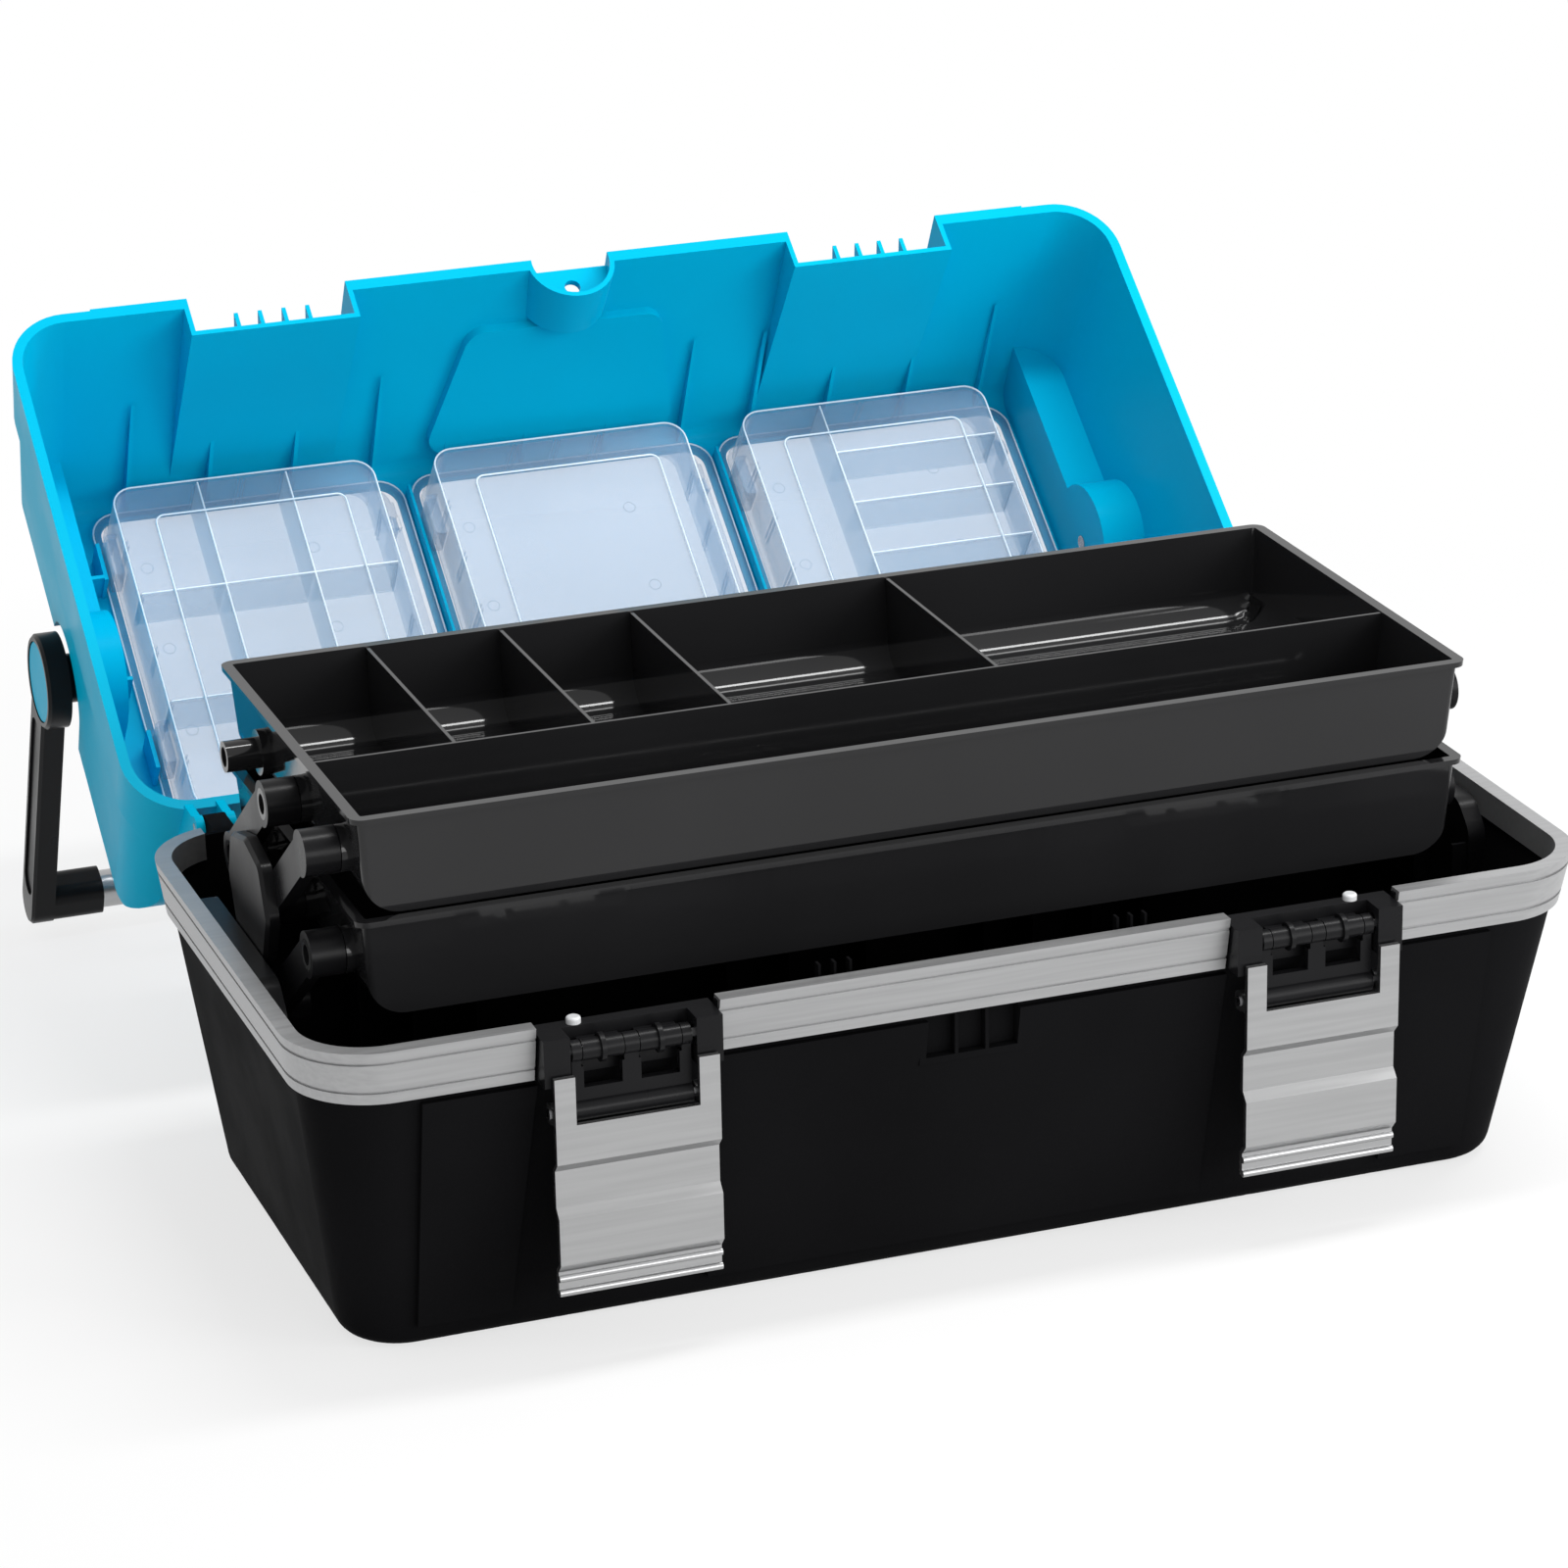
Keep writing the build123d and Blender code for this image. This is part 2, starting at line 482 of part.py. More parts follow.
sleeve = rounded(-SLEEVE_HALF, SLEEVE_HALF, -SLEEVE_HALF, SLEEVE_HALF, 0, ARM_X[0] + 1 - SLEEVE_X, 7)
sleeve = Pos(SLEEVE_X, 0, GRIP_REACH) * Rot(0, 90, 0) * sleeve
handle_arm = handle_arm + sleeve - rod(SLEEVE_X - 1, SLEEVE_X + 14, 0, GRIP_REACH, GRIP_R)
disc = soft(Rot(0, -90, 0) * rod(ARM_X[1] - 3, ARM_X[1] - 0.4, 0, 0, DISC_R - 0.1), -1, 0.8)
disc = Rot(0, 90, 0) * disc
grip = rod(-SLEEVE_X - 14, SLEEVE_X + 14, 0, GRIP_REACH, GRIP_R)
grip = grip - rod(-SLEEVE_X - 15, SLEEVE_X + 15, 0, GRIP_REACH, GRIP_BORE_R)
pivot = rod(POCKET_X - THIN - GAP, ARM_X[0] + 4, PIVOT_S, PIVOT_H, HANDLE_PIN_R)
for side, word in ((-1, "left"), (1, "right")):
    nodes["handle_arm_" + word] = TILTED * sided(handle_arm, side)
    nodes["handle_disc_" + word] = TILTED * sided(disc, side)
    nodes["handle_pin_" + word] = OPENED * sided(pivot, side)
nodes["handle_grip"] = TILTED * grip

# Organisers: a clear box seated behind each window, with a cover hinged on its right edge
levels = ((ORG_FACE, ORG_HALF_X - 1, *ORG_S, 11), (ORG_RIM, ORG_HALF_X, *ORG_S, 12))
bin_skin = drafted(levels, ORG_FACE, ORG_RIM)
bin_room = drafted(levels, ORG_FACE + ORG_WALL, ORG_RIM + 1, -ORG_WALL)
x0, x1, s0, s1 = ORG_FLANGE
flange = rounded(x0, x1, s0, s1, ORG_RIM - ORG_FLANGE_T, ORG_RIM, 14)
organiser = bin_skin + flange - bin_room
for s in (68, 180):
    clip = block(ORG_FLANGE[0] + 0.5, -ORG_HALF_X + 2, s - 12, s + 12, 107, ORG_RIM - 1)
    clip = fillet(clip.edges().filter_by(Axis.Z), 3)
    clip = clip - block(ORG_FLANGE[0] + 2, -ORG_HALF_X, s - 10.5, s + 10.5, 109, 125)
    organiser = organiser + (clip - bin_room)
    catch = block(ORG_HALF_X - 2, ORG_HALF_X + 6, s - 5, s + 5, 112, ORG_RIM - 1)
    organiser = organiser + (fillet(catch.edges().filter_by(Axis.Z), 2) - bin_room)
ridge_x = ORG_HALF_X - ORG_RIDGE_IN
ridge_s = (ORG_S[0] + ORG_RIDGE_IN, ORG_S[1] - ORG_RIDGE_IN)
ridge = rounded(-ridge_x, ridge_x, *ridge_s, ORG_FACE - 1, ORG_FACE + 0.5, 5)
ridge = ridge - rounded(-ridge_x + 1.6, ridge_x - 1.6, ridge_s[0] + 1.6, ridge_s[1] - 1.6, 98, 102, 4)
organiser = organiser + ridge
for x in (-ORG_LONG_X, 0, ORG_LONG_X):
    for offset in (-1.5, 1.5):
        rib = block(x + offset - 0.6, x + offset + 0.6, *ORG_S, ORG_FACE + 1, ORG_RIM - 3) & bin_room
        organiser = organiser + (rib - bin_room.moved(Pos(0, 1.4, 0))) + (rib - bin_room.moved(Pos(0, -1.4, 0)))
for step in range(1, 6):
    s = ORG_S[0] + 32 * step
    for offset in (-1.5, 1.5):
        rib = block(-80, 80, s + offset - 0.6, s + offset + 0.6, ORG_FACE + 1, ORG_RIM - 3) & bin_room
        organiser = organiser + (rib - bin_room.moved(Pos(1.4, 0, 0))) + (rib - bin_room.moved(Pos(-1.4, 0, 0)))
lug_places = (ORG_S[0] + 22, ORG_S[1] - 22)
hinge_x, hinge_h = COVER_PIN


def pin_along(s_low, s_high, r):
    return Pos(hinge_x, (s_low + s_high) / 2, hinge_h) * Rot(90, 0, 0) * Cylinder(r, s_high - s_low)


for s in lug_places:
    lug = pin_along(s - LUG_LONG / 2, s + LUG_LONG / 2, COVER_BARREL_R)
    lug = lug + block(hinge_x - 2.2, hinge_x + 2.2, s - LUG_LONG / 2, s + LUG_LONG / 2, ORG_RIM - 1, hinge_h)
    organiser = organiser + lug
    organiser = organiser - pin_along(s - LUG_LONG, s + LUG_LONG, COVER_PIN_R + RUN_FIT)

cover_x = (WINDOW[0] + COVER_GAP, hinge_x)
cover_s = (WINDOW[2] + COVER_GAP, WINDOW[3] - COVER_GAP)
cover = rounded(*cover_x, *cover_s, ORG_RIM + GAP, ORG_RIM + GAP + COVER_T, 9)
cover = cover + pin_along(cover_s[0] + 9, cover_s[1] - 9, COVER_BARREL_R - 0.1)
for s in lug_places:
    half = LUG_LONG / 2 + GAP
    cover = cover - block(hinge_x - 3.2, hinge_x + 4, s - half, s + half, 120, 140)
cover = cover + pin_along(lug_places[0] - LUG_LONG, lug_places[0] + LUG_LONG, COVER_PIN_R)
cover = cover + pin_along(lug_places[1] - LUG_LONG, lug_places[1] + LUG_LONG, COVER_PIN_R)

# Loose dividers: a full grid in the left organiser, a shorter one in the right
room = drafted(levels, ORG_FACE + ORG_WALL + 0.1, ORG_RIM - ORG_TOP_DROP, -ORG_WALL - 0.2)


def upright(x):
    return block(x - ORG_DIVIDER_T / 2, x + ORG_DIVIDER_T / 2, *ORG_S, ORG_FACE, ORG_RIM) & room


def cross(s, low, high):
    return block(low, high, s - ORG_DIVIDER_T / 2, s + ORG_DIVIDER_T / 2, ORG_FACE, ORG_RIM) & room


grid = upright(-ORG_LONG_X) + upright(ORG_LONG_X)
for s in (98, 162):
    grid = grid + cross(s, -80, 80)
comb = upright(-ORG_LONG_X)
for s in (66, 98, 130):
    comb = comb + cross(s, -ORG_LONG_X, 80)
for x, word in zip(ORG_X, ("left", "middle", "right")):
    nodes["organiser_box_" + word] = OPENED * organiser.moved(Pos(x, 0, 0))
    nodes["organiser_cover_" + word] = OPENED * cover.moved(Pos(x, 0, 0))
nodes["organiser_dividers_left"] = OPENED * grid.moved(Pos(ORG_X[0], 0, 0))
nodes["organiser_dividers_right"] = OPENED * comb.moved(Pos(ORG_X[2], 0, 0))

for name, shape in nodes.items():
    export_step(shape, "parts/" + name + ".step")
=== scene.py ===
from math import radians, sin, cos

import bmesh
import bpy
from mathutils import Matrix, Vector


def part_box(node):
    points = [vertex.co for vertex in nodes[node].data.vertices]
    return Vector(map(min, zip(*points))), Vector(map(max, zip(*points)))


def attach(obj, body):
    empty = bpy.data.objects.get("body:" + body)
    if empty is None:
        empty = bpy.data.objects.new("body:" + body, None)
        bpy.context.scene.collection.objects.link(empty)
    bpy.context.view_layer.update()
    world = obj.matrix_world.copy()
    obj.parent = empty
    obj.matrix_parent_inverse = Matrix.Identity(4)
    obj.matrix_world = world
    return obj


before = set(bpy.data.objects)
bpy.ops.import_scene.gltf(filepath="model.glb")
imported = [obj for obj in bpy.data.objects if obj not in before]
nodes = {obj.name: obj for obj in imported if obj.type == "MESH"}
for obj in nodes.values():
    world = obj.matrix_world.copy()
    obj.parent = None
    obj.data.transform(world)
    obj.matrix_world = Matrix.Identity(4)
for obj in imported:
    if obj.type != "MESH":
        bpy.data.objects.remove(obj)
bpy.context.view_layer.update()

# The base tub
# A deep tub moulded in black plastic with a fine grain outside and in.
# Its front panel stands proud between the latches, and four hinge hooks are moulded on its rear.
TUB_BLACK = (0.0054, 0.0054, 0.0058, 1.0)
TUB_GREY = (0.0072, 0.0072, 0.0078, 1.0)
TUB_GLOSS = 0.4
TUB_IOR = 1.04


def shader_group(name, inputs, outputs):
    tree = bpy.data.node_groups.new(name, "ShaderNodeTree")
    for label, kind, value in inputs:
        tree.interface.new_socket(label, in_out="INPUT", socket_type=kind).default_value = value
    for label, kind in outputs:
        tree.interface.new_socket(label, in_out="OUTPUT", socket_type=kind)
    return tree, tree.nodes.new("NodeGroupInput"), tree.nodes.new("NodeGroupOutput")


def noise(tree, vector, scale, detail=3.0):
    node = tree.nodes.new("ShaderNodeTexNoise")
    node.inputs["Detail"].default_value = detail
    tree.links.new(vector, node.inputs["Vector"])
    if isinstance(scale, (int, float)):
        node.inputs["Scale"].default_value = scale
    else:
        tree.links.new(scale, node.inputs["Scale"])
    return node.outputs["Fac"]


def span(tree, value, low, high, from_low=0.35, from_high=0.65):
    node = tree.nodes.new("ShaderNodeMapRange")
    node.inputs["From Min"].default_value = from_low
    node.inputs["From Max"].default_value = from_high
    tree.links.new(value, node.inputs["Value"])
    for socket, end in (("To Min", low), ("To Max", high)):
        if isinstance(end, (int, float)):
            node.inputs[socket].default_value = end
        else:
            tree.links.new(end, node.inputs[socket])
    return node.outputs["Result"]


def mixed(tree, factor, first, second):
    node = tree.nodes.new("ShaderNodeMix")
    node.data_type = "RGBA"
    tree.links.new(factor, node.inputs["Factor"])
    for socket, colour in (("A", first), ("B", second)):
        if isinstance(colour, tuple):
            node.inputs[socket].default_value = colour
        else:
            tree.links.new(colour, node.inputs[socket])
    return node.outputs["Result"]


# Moulded plastic: a fine grain, and slow drifts of colour and gloss as the melt cooled
DRIFT_SCALE = 7.0
CLOUD_SCALE = 23.0
moulded, put_in, put_out = shader_group(
    "moulded_skin",
    (("Colour", "NodeSocketColor", (1, 1, 1, 1)), ("Pale", "NodeSocketColor", (1, 1, 1, 1)),
     ("Grain", "NodeSocketFloat", 900.0), ("Smooth", "NodeSocketFloat", 0.3),
     ("Rough", "NodeSocketFloat", 0.4)),
    (("Colour", "NodeSocketColor"), ("Rough", "NodeSocketFloat"), ("Height", "NodeSocketFloat")))
place = moulded.nodes.new("ShaderNodeTexCoord").outputs["Object"]
drift = span(moulded, noise(moulded, place, DRIFT_SCALE), 0.0, 1.0)
drifted = mixed(moulded, drift, put_in.outputs["Colour"], put_in.outputs["Pale"])
moulded.links.new(drifted, put_out.inputs["Colour"])
cloud = noise(moulded, place, CLOUD_SCALE)
clouded = span(moulded, cloud, put_in.outputs["Smooth"], put_in.outputs["Rough"])
moulded.links.new(clouded, put_out.inputs["Rough"])
moulded.links.new(noise(moulded, place, put_in.outputs["Grain"], 1.0), put_out.inputs["Height"])


def new_finish(name):
    finish = bpy.data.materials.new(name)
    finish.use_nodes = True
    return finish, finish.node_tree, finish.node_tree.nodes["Principled BSDF"]


def add_group(tree, group, shader, rough, bump, **values):
    node = tree.nodes.new("ShaderNodeGroup")
    node.node_tree = group
    values.update(Smooth=rough[0], Rough=rough[1])
    for label, value in values.items():
        node.inputs[label].default_value = value
    tree.links.new(node.outputs["Colour"], shader.inputs["Base Color"])
    tree.links.new(node.outputs["Rough"], shader.inputs["Roughness"])
    relief = tree.nodes.new("ShaderNodeBump")
    relief.inputs["Strength"].default_value = bump[0]
    relief.inputs["Distance"].default_value = bump[1]
    tree.links.new(node.outputs["Height"], relief.inputs["Height"])
    tree.links.new(relief.outputs["Normal"], shader.inputs["Normal"])


def moulded_plastic(name, colour, pale, grain, rough, bump, gloss=0.5, ior=1.5):
    finish, tree, shader = new_finish(name)
    shader.inputs["Specular IOR Level"].default_value = gloss
    shader.inputs["IOR"].default_value = ior
    add_group(tree, moulded, shader, rough, bump, Colour=colour, Pale=pale, Grain=grain)
    return finish


def wear(finish, *names):
    for name in names:
        for slot in nodes[name].material_slots:
            slot.material = finish


grained_black = moulded_plastic(
    "grained_black", TUB_BLACK, TUB_GREY, grain=1100.0, rough=(0.46, 0.54), bump=(0.22, 0.0003),
    gloss=TUB_GLOSS, ior=TUB_IOR)
wear(grained_black, "base_tub")

# The silver trim
# Satin silver channel pushed over the tub's rim in three lengths, with two grooves along its face.
# It stops on both sides of each latch.
SILVER = (0.36, 0.362, 0.366, 1.0)
SILVER_PALE = (0.40, 0.402, 0.406, 1.0)
ALONG_X = (14.0, 420.0, 420.0)

brushed, put_in, put_out = shader_group(
    "brushed_metal",
    (("Colour", "NodeSocketColor", (1, 1, 1, 1)), ("Pale", "NodeSocketColor", (1, 1, 1, 1)),
     ("Stretch", "NodeSocketVector", (1, 1, 1)), ("Smooth", "NodeSocketFloat", 0.25),
     ("Rough", "NodeSocketFloat", 0.4)),
    (("Colour", "NodeSocketColor"), ("Rough", "NodeSocketFloat"), ("Height", "NodeSocketFloat")))
place = brushed.nodes.new("ShaderNodeTexCoord").outputs["Object"]
stretched = brushed.nodes.new("ShaderNodeVectorMath")
stretched.operation = "MULTIPLY"
brushed.links.new(place, stretched.inputs[0])
brushed.links.new(put_in.outputs["Stretch"], stretched.inputs[1])
lines = noise(brushed, stretched.outputs["Vector"], 1.0, 2.0)
streak = span(brushed, lines, 0.0, 1.0)
streaked = mixed(brushed, streak, put_in.outputs["Colour"], put_in.outputs["Pale"])
brushed.links.new(streaked, put_out.inputs["Colour"])
worn = span(brushed, lines, put_in.outputs["Smooth"], put_in.outputs["Rough"])
brushed.links.new(worn, put_out.inputs["Rough"])
brushed.links.new(lines, put_out.inputs["Height"])


def brushed_metal(name, colour, pale, stretch, rough, bump, metallic=1.0):
    finish, tree, shader = new_finish(name)
    shader.inputs["Metallic"].default_value = metallic
    add_group(tree, brushed, shader, rough, bump, Colour=colour, Pale=pale, Stretch=stretch)
    return finish


satin_silver = brushed_metal(
    "satin_silver", SILVER, SILVER_PALE, ALONG_X, rough=(0.36, 0.42), bump=(0.02, 0.0001),
    metallic=0.75)
wear(satin_silver, "trim_left", "trim_middle", "trim_right")

# Trays, arms and their brackets
# Two trays from one mould in glossy black plastic, carried at each end by three pierced arms.
# The arms snap over hollow pegs on the trays and on brackets inside the tub.
TRAY_BLACK = (0.0130, 0.0130, 0.0138, 1.0)
TRAY_GREY = (0.0165, 0.0165, 0.0175, 1.0)
TRAY_GLOSS = 0.46
TRAY_IOR = 1.4
ARM_BLACK = (0.0062, 0.0062, 0.0068, 1.0)
ARM_GREY = (0.0086, 0.0086, 0.0095, 1.0)
ARM_GLOSS = 0.12
glossy_black = moulded_plastic(
    "glossy_black", TRAY_BLACK, TRAY_GREY, grain=120.0, rough=(0.05, 0.09), bump=(0.015, 0.0003),
    gloss=TRAY_GLOSS, ior=TRAY_IOR)
arm_black = moulded_plastic(
    "arm_black", ARM_BLACK, ARM_GREY, grain=300.0, rough=(0.26, 0.36), bump=(0.06, 0.0004),
    gloss=ARM_GLOSS)
wear(glossy_black, "lower_tray", "upper_tray")
for side in ("left", "right"):
    wear(arm_black, "long_arm_" + side, "lower_arm_" + side, "upper_arm_" + side)
    wear(arm_black, "arm_bracket_" + side)

# Tray coves
# Inside each tray the floor rolls up into both long walls, so that small parts slide out under a
# finger. The roll dies into the rounded ends.
COVE_R = 0.015
COVE_SINK = 0.0008
COVE_STEPS = 24
COVE_CREASE = radians(40.0)
TRAY_SKIN = 0.002
INNER_REAR = 0.1247
INNER_FRONT = -0.0777
END_CENTRE = 0.2315
END_RINGS = (0.0, 0.0045, 0.0085, 0.0115, 0.0135, 0.0146)


def cove_ring(x, wall, way, floor_z):
    past = max(abs(x) - END_CENTRE, 0.0)
    lowest = floor_z + COVE_R - (COVE_R ** 2 - past ** 2) ** 0.5 - COVE_SINK
    behind = wall + way * COVE_SINK
    below = floor_z - COVE_SINK
    outline = [(behind, floor_z + COVE_R), (behind, below), (wall - way * COVE_R, below)]
    for step in range(COVE_STEPS + 1):
        turn = radians(90.0 * step / COVE_STEPS)
        outline.append((wall - way * COVE_R * (1.0 - sin(turn)),
                        floor_z + COVE_R * (1.0 - cos(turn))))
    return [(x, y, max(z, lowest)) for y, z in outline]


def tray_cove(level, word, wall, way):
    floor_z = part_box(level + "_tray")[0][2] + TRAY_SKIN
    right_end = [END_CENTRE + step for step in END_RINGS]
    stations = [-x for x in reversed(right_end)] + right_end
    rings = [cove_ring(x, wall, way, floor_z) for x in stations]
    points = [point for ring in rings for point in ring]
    around = len(rings[0])
    faces = [tuple(range(around)), tuple(reversed(range(len(points) - around, len(points))))]
    for first in range(0, len(points) - around, around):
        for i in range(around):
            j = (i + 1) % around
            faces.append((first + j, first + i, first + around + i, first + around + j))
    mesh = bpy.data.meshes.new(level + "_tray_" + word + "_cove")
    mesh.from_pydata(points, [], faces)
    solid = bmesh.new()
    solid.from_mesh(mesh)
    bmesh.ops.recalc_face_normals(solid, faces=solid.faces)
    solid.to_mesh(mesh)
    solid.free()
    mesh.materials.append(glossy_black)
    mesh.shade_smooth()
    mesh.set_sharp_from_angle(angle=COVE_CREASE)
    piece = bpy.data.objects.new(mesh.name, mesh)
    bpy.context.scene.collection.objects.link(piece)
    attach(piece, level + "_tray")


for level in ("lower", "upper"):
    tray_cove(level, "rear", INNER_REAR, 1)
    tray_cove(level, "front", INNER_FRONT, -1)

# Latches
# Each has a black frame in a gap of the trim, a windowed link on a steel pin, a steel rod at the
# link's lower end, and a lever cut from an aluminium extrusion that hooks round the rod.
LEVER_SILVER = (0.38, 0.382, 0.385, 1.0)
LEVER_PALE = (0.405, 0.407, 0.41, 1.0)
PIN_STEEL = (0.30, 0.30, 0.31, 1.0)
PIN_PALE = (0.38, 0.38, 0.39, 1.0)
lever_aluminium = brushed_metal(
    "lever_aluminium", LEVER_SILVER, LEVER_PALE, ALONG_X, rough=(0.30, 0.34), bump=(0.012, 0.0001))
pin_steel = brushed_metal(
    "pin_steel", PIN_STEEL, PIN_PALE, ALONG_X, rough=(0.16, 0.26), bump=(0.02, 0.0001))
for side in ("left", "right"):
    wear(arm_black, "latch_housing_" + side, "latch_link_" + side)
    wear(lever_aluminium, "latch_lever_" + side)
    wear(pin_steel, "latch_pin_" + side, "latch_rod_" + side)

# Lid
# One turquoise moulding with a satin face, windows in its top, notches for the latches,
# and ears at its rear edge that turn on steel pins. Where its faces are seen edge-on they are
# painted paler: a painted glow that stands in for light coming through the thin plastic.
TURQUOISE = (0.0, 0.44, 0.68, 1.0)
TURQUOISE_PALE = (0.0, 0.465, 0.71, 1.0)
# Paler turquoise painted where a face is seen edge-on: a painted glow standing in for light
# through thin plastic.
TURQUOISE_PAINTED_GLOW = (0.03, 0.50, 0.74, 1.0)
LID_GLOSS = 0.25
LID_IOR = 1.12
LID_GLOW_SEEN = (0.88, 1.0)


def seen_edge(tree, low, high, from_low=0.55, from_high=0.97):
    facing = tree.nodes.new("ShaderNodeLayerWeight")
    facing.inputs["Blend"].default_value = 0.5
    return span(tree, facing.outputs["Facing"], low, high, from_low, from_high)


# Mixes a paler colour into the base colour where a face is seen edge-on: a painted glow that
# stands in for light coming through thin plastic.
def painted_edge_glow(finish, colour, *reach):
    tree = finish.node_tree
    target = tree.nodes["Principled BSDF"].inputs["Base Color"]
    body_colour = target.links[0].from_socket
    tree.links.new(mixed(tree, seen_edge(tree, 0.0, 1.0, *reach), body_colour, colour), target)


satin_turquoise = moulded_plastic(
    "satin_turquoise", TURQUOISE, TURQUOISE_PALE, grain=1400.0, rough=(0.28, 0.36),
    bump=(0.04, 0.0003), gloss=LID_GLOSS, ior=LID_IOR)
# Painted glow: the lid turns paler where its faces are seen edge-on.
painted_edge_glow(satin_turquoise, TURQUOISE_PAINTED_GLOW, *LID_GLOW_SEEN)
wear(satin_turquoise, "lid_shell", "lock_web")
wear(pin_steel, "hinge_pins")

# Handle
# A bail of two black arms joined by a bare aluminium bar, turning on steel pins in the lid's ends.
# A turquoise disc closes each arm's ring.
wear(arm_black, "handle_arm_left", "handle_arm_right")
wear(satin_turquoise, "handle_disc_left", "handle_disc_right")
wear(pin_steel, "handle_pin_left", "handle_pin_right")
wear(lever_aluminium, "handle_grip")

# Organisers
# Three boxes in milky clear plastic, seated behind the lid's windows, with loose dividers in two
# of them and a hinged cover on each. Two small clear bumpers sit on the latch frames.
MILK = (0.31, 0.48, 0.68, 1.0)
MILK_PALE = (0.37, 0.53, 0.72, 1.0)
# Near-white painted where a clear face is seen edge-on: a painted glow standing in for light
# gathered in the plastic.
MILK_PAINTED_GLOW = (0.86, 0.93, 0.97, 1.0)
DIVIDER_MILK = (0.74, 0.84, 0.93, 1.0)
DIVIDER_PALE = (0.80, 0.88, 0.95, 1.0)
COVER_IOR = 1.2
PAD_CLEAR = (0.60, 0.61, 0.62, 1.0)
PAD_PALE = (0.68, 0.69, 0.70, 1.0)
ORGANISER_X = {"left": -0.166, "middle": 0.0, "right": 0.166}


def milky_clear(name, through, edge, milk=MILK, milk_pale=MILK_PALE, ior=1.5):
    finish = moulded_plastic(name, milk, milk_pale, grain=120.0, rough=(0.10, 0.16),
                             bump=(0.015, 0.0002), gloss=0.4, ior=ior)
    # Painted glow: the clear plastic turns near-white where its faces are seen edge-on.
    painted_edge_glow(finish, MILK_PAINTED_GLOW)
    tree = finish.node_tree
    tree.links.new(seen_edge(tree, through, edge), tree.nodes["Principled BSDF"].inputs["Alpha"])
    return finish


clear_wall = milky_clear("clear_wall", through=0.22, edge=0.75)
clear_divider = milky_clear(
    "clear_divider", through=0.30, edge=0.85, milk=DIVIDER_MILK, milk_pale=DIVIDER_PALE)
clear_cover = milky_clear("clear_cover", through=0.20, edge=0.70, ior=COVER_IOR)
for row in ORGANISER_X:
    wear(clear_wall, "organiser_box_" + row)
    wear(clear_cover, "organiser_cover_" + row)
clear_pad = moulded_plastic(
    "clear_pad", PAD_CLEAR, PAD_PALE, grain=300.0, rough=(0.12, 0.20), bump=(0.01, 0.0002))
wear(clear_divider, "organiser_dividers_left", "organiser_dividers_right")
wear(clear_pad, "rim_bumpers")

# Mould marks
# The pins that push a moulding out of its mould leave small rings, in rows on the floors of the
# trays and of the organisers.
RING_RADIUS = 0.0030
RING_BEAD = 0.00022
RING_SIDES = 24
BEAD_SIDES = 8
TRAY_RINGS = {"Columns": 5, "Rows": 2, "Width": 0.42, "Length": 0.07}
TRAY_RINGS_Y = 0.052
ORGANISER_RINGS = {"Columns": 2, "Rows": 3, "Width": 0.085, "Length": 0.0965}
ORGANISER_RINGS_OFF = -0.0165
ORGANISER_RINGS_S = 0.1307
ORGANISER_FLOOR = 0.1016


def geometry_tree(name, *sockets):
    tree = bpy.data.node_groups.new(name, "GeometryNodeTree")
    for label, kind in (*sockets, ("Bead", "Float"), ("Finish", "Material")):
        tree.interface.new_socket(label, in_out="INPUT", socket_type="NodeSocket" + kind)
    tree.interface.new_socket("Geometry", in_out="OUTPUT", socket_type="NodeSocketGeometry")
    return tree, tree.nodes.new("NodeGroupInput").outputs


def beaded(tree, given, curve):
    bead = tree.nodes.new("GeometryNodeCurvePrimitiveCircle")
    bead.inputs["Resolution"].default_value = BEAD_SIDES
    tree.links.new(given["Bead"], bead.inputs["Radius"])
    tube = tree.nodes.new("GeometryNodeCurveToMesh")
    tube.inputs["Fill Caps"].default_value = True
    tree.links.new(curve, tube.inputs["Curve"])
    tree.links.new(bead.outputs["Curve"], tube.inputs["Profile Curve"])
    return tube.outputs["Mesh"]


def copied(tree, points, shape):
    copies = tree.nodes.new("GeometryNodeInstanceOnPoints")
    tree.links.new(points, copies.inputs["Points"])
    tree.links.new(shape, copies.inputs["Instance"])
    return copies.outputs["Instances"]


def finished(tree, given, geometry):
    real = tree.nodes.new("GeometryNodeRealizeInstances")
    tree.links.new(geometry, real.inputs["Geometry"])
    coat = tree.nodes.new("GeometryNodeSetMaterial")
    tree.links.new(real.outputs["Geometry"], coat.inputs["Geometry"])
    tree.links.new(given["Finish"], coat.inputs["Material"])
    tree.links.new(coat.outputs["Geometry"], tree.nodes.new("NodeGroupOutput").inputs["Geometry"])
    return tree


def ring_grid_tree():
    tree, given = geometry_tree(
        "ring_grid", ("Columns", "Int"), ("Rows", "Int"), ("Width", "Float"), ("Length", "Float"),
        ("Radius", "Float"))
    grid = tree.nodes.new("GeometryNodeMeshGrid")
    for label, socket in (("Columns", "Vertices X"), ("Rows", "Vertices Y"),
                          ("Width", "Size X"), ("Length", "Size Y")):
        tree.links.new(given[label], grid.inputs[socket])
    ring = tree.nodes.new("GeometryNodeCurvePrimitiveCircle")
    ring.inputs["Resolution"].default_value = RING_SIDES
    tree.links.new(given["Radius"], ring.inputs["Radius"])
    rings = copied(tree, grid.outputs["Mesh"], beaded(tree, given, ring.outputs["Curve"]))
    return finished(tree, given, rings)


